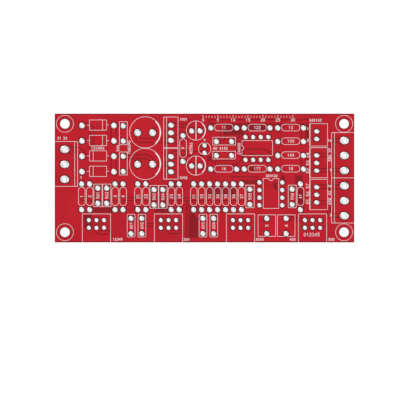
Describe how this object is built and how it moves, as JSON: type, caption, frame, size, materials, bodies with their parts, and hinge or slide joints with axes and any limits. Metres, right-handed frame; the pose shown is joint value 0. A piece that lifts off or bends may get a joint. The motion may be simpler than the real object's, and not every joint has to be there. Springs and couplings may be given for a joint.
{
  "type": "preamplifier circuit board",
  "caption": "Bare circuit board for a stereo preamplifier with tone controls: a red panel with tinned plated holes, printed component outlines and corner bolt holes.",
  "frame": {"origin": "middle of the board's underside", "axes": "+X along the board's length towards the output terminals, +Y away from the tone controls, +Z out of the component side"},
  "size_m": [0.1, 0.043, 0.0016],
  "materials": {
    "solder_mask": "glossy red solder mask on glass-fibre laminate",
    "tin": "bright tinned copper",
    "ink": "white screen-printed ink"
  },
  "bodies": {
    "root": {"ac_input_terminal_pads": "tin", "bass_capacitor_pads": "tin", "bass_control_pads": "tin", "bass_resistor_pads": "tin", "bleeder_resistor_pads": "tin", "board": "solder_mask", "buffer_amplifier_pads": "tin", "buffer_bottom_resistor_pads": "tin", "buffer_side_resistor_pads": "tin", "buffer_top_resistor_pads": "tin", "bypass_capacitor_pads": "tin", "component_outlines": "ink", "input_header_pads": "tin", "middle_capacitor_pads": "tin", "middle_control_pads": "tin", "middle_coupling_pads": "tin", "middle_resistor_pads": "tin", "negative_regulator_pads": "tin", "output_coupling_pads": "tin", "output_header_pads": "tin", "positive_regulator_pads": "tin", "power_header_pads": "tin", "rail_capacitor_pads": "tin", "rectifier_capacitor_pads": "tin", "rectifier_diode_pads": "tin", "reservoir_capacitor_pads": "tin", "signal_input_terminal_pads": "tin", "signal_output_terminal_pads": "tin", "small_capacitor_pads": "tin", "tone_amplifier_pads": "tin", "treble_capacitor_pads": "tin", "treble_control_pads": "tin", "treble_coupling_pads": "tin", "treble_resistor_pads": "tin", "volume_capacitor_pads": "tin", "volume_control_pads": "tin", "volume_resistor_pads": "tin"}
  },
  "joints": []
}
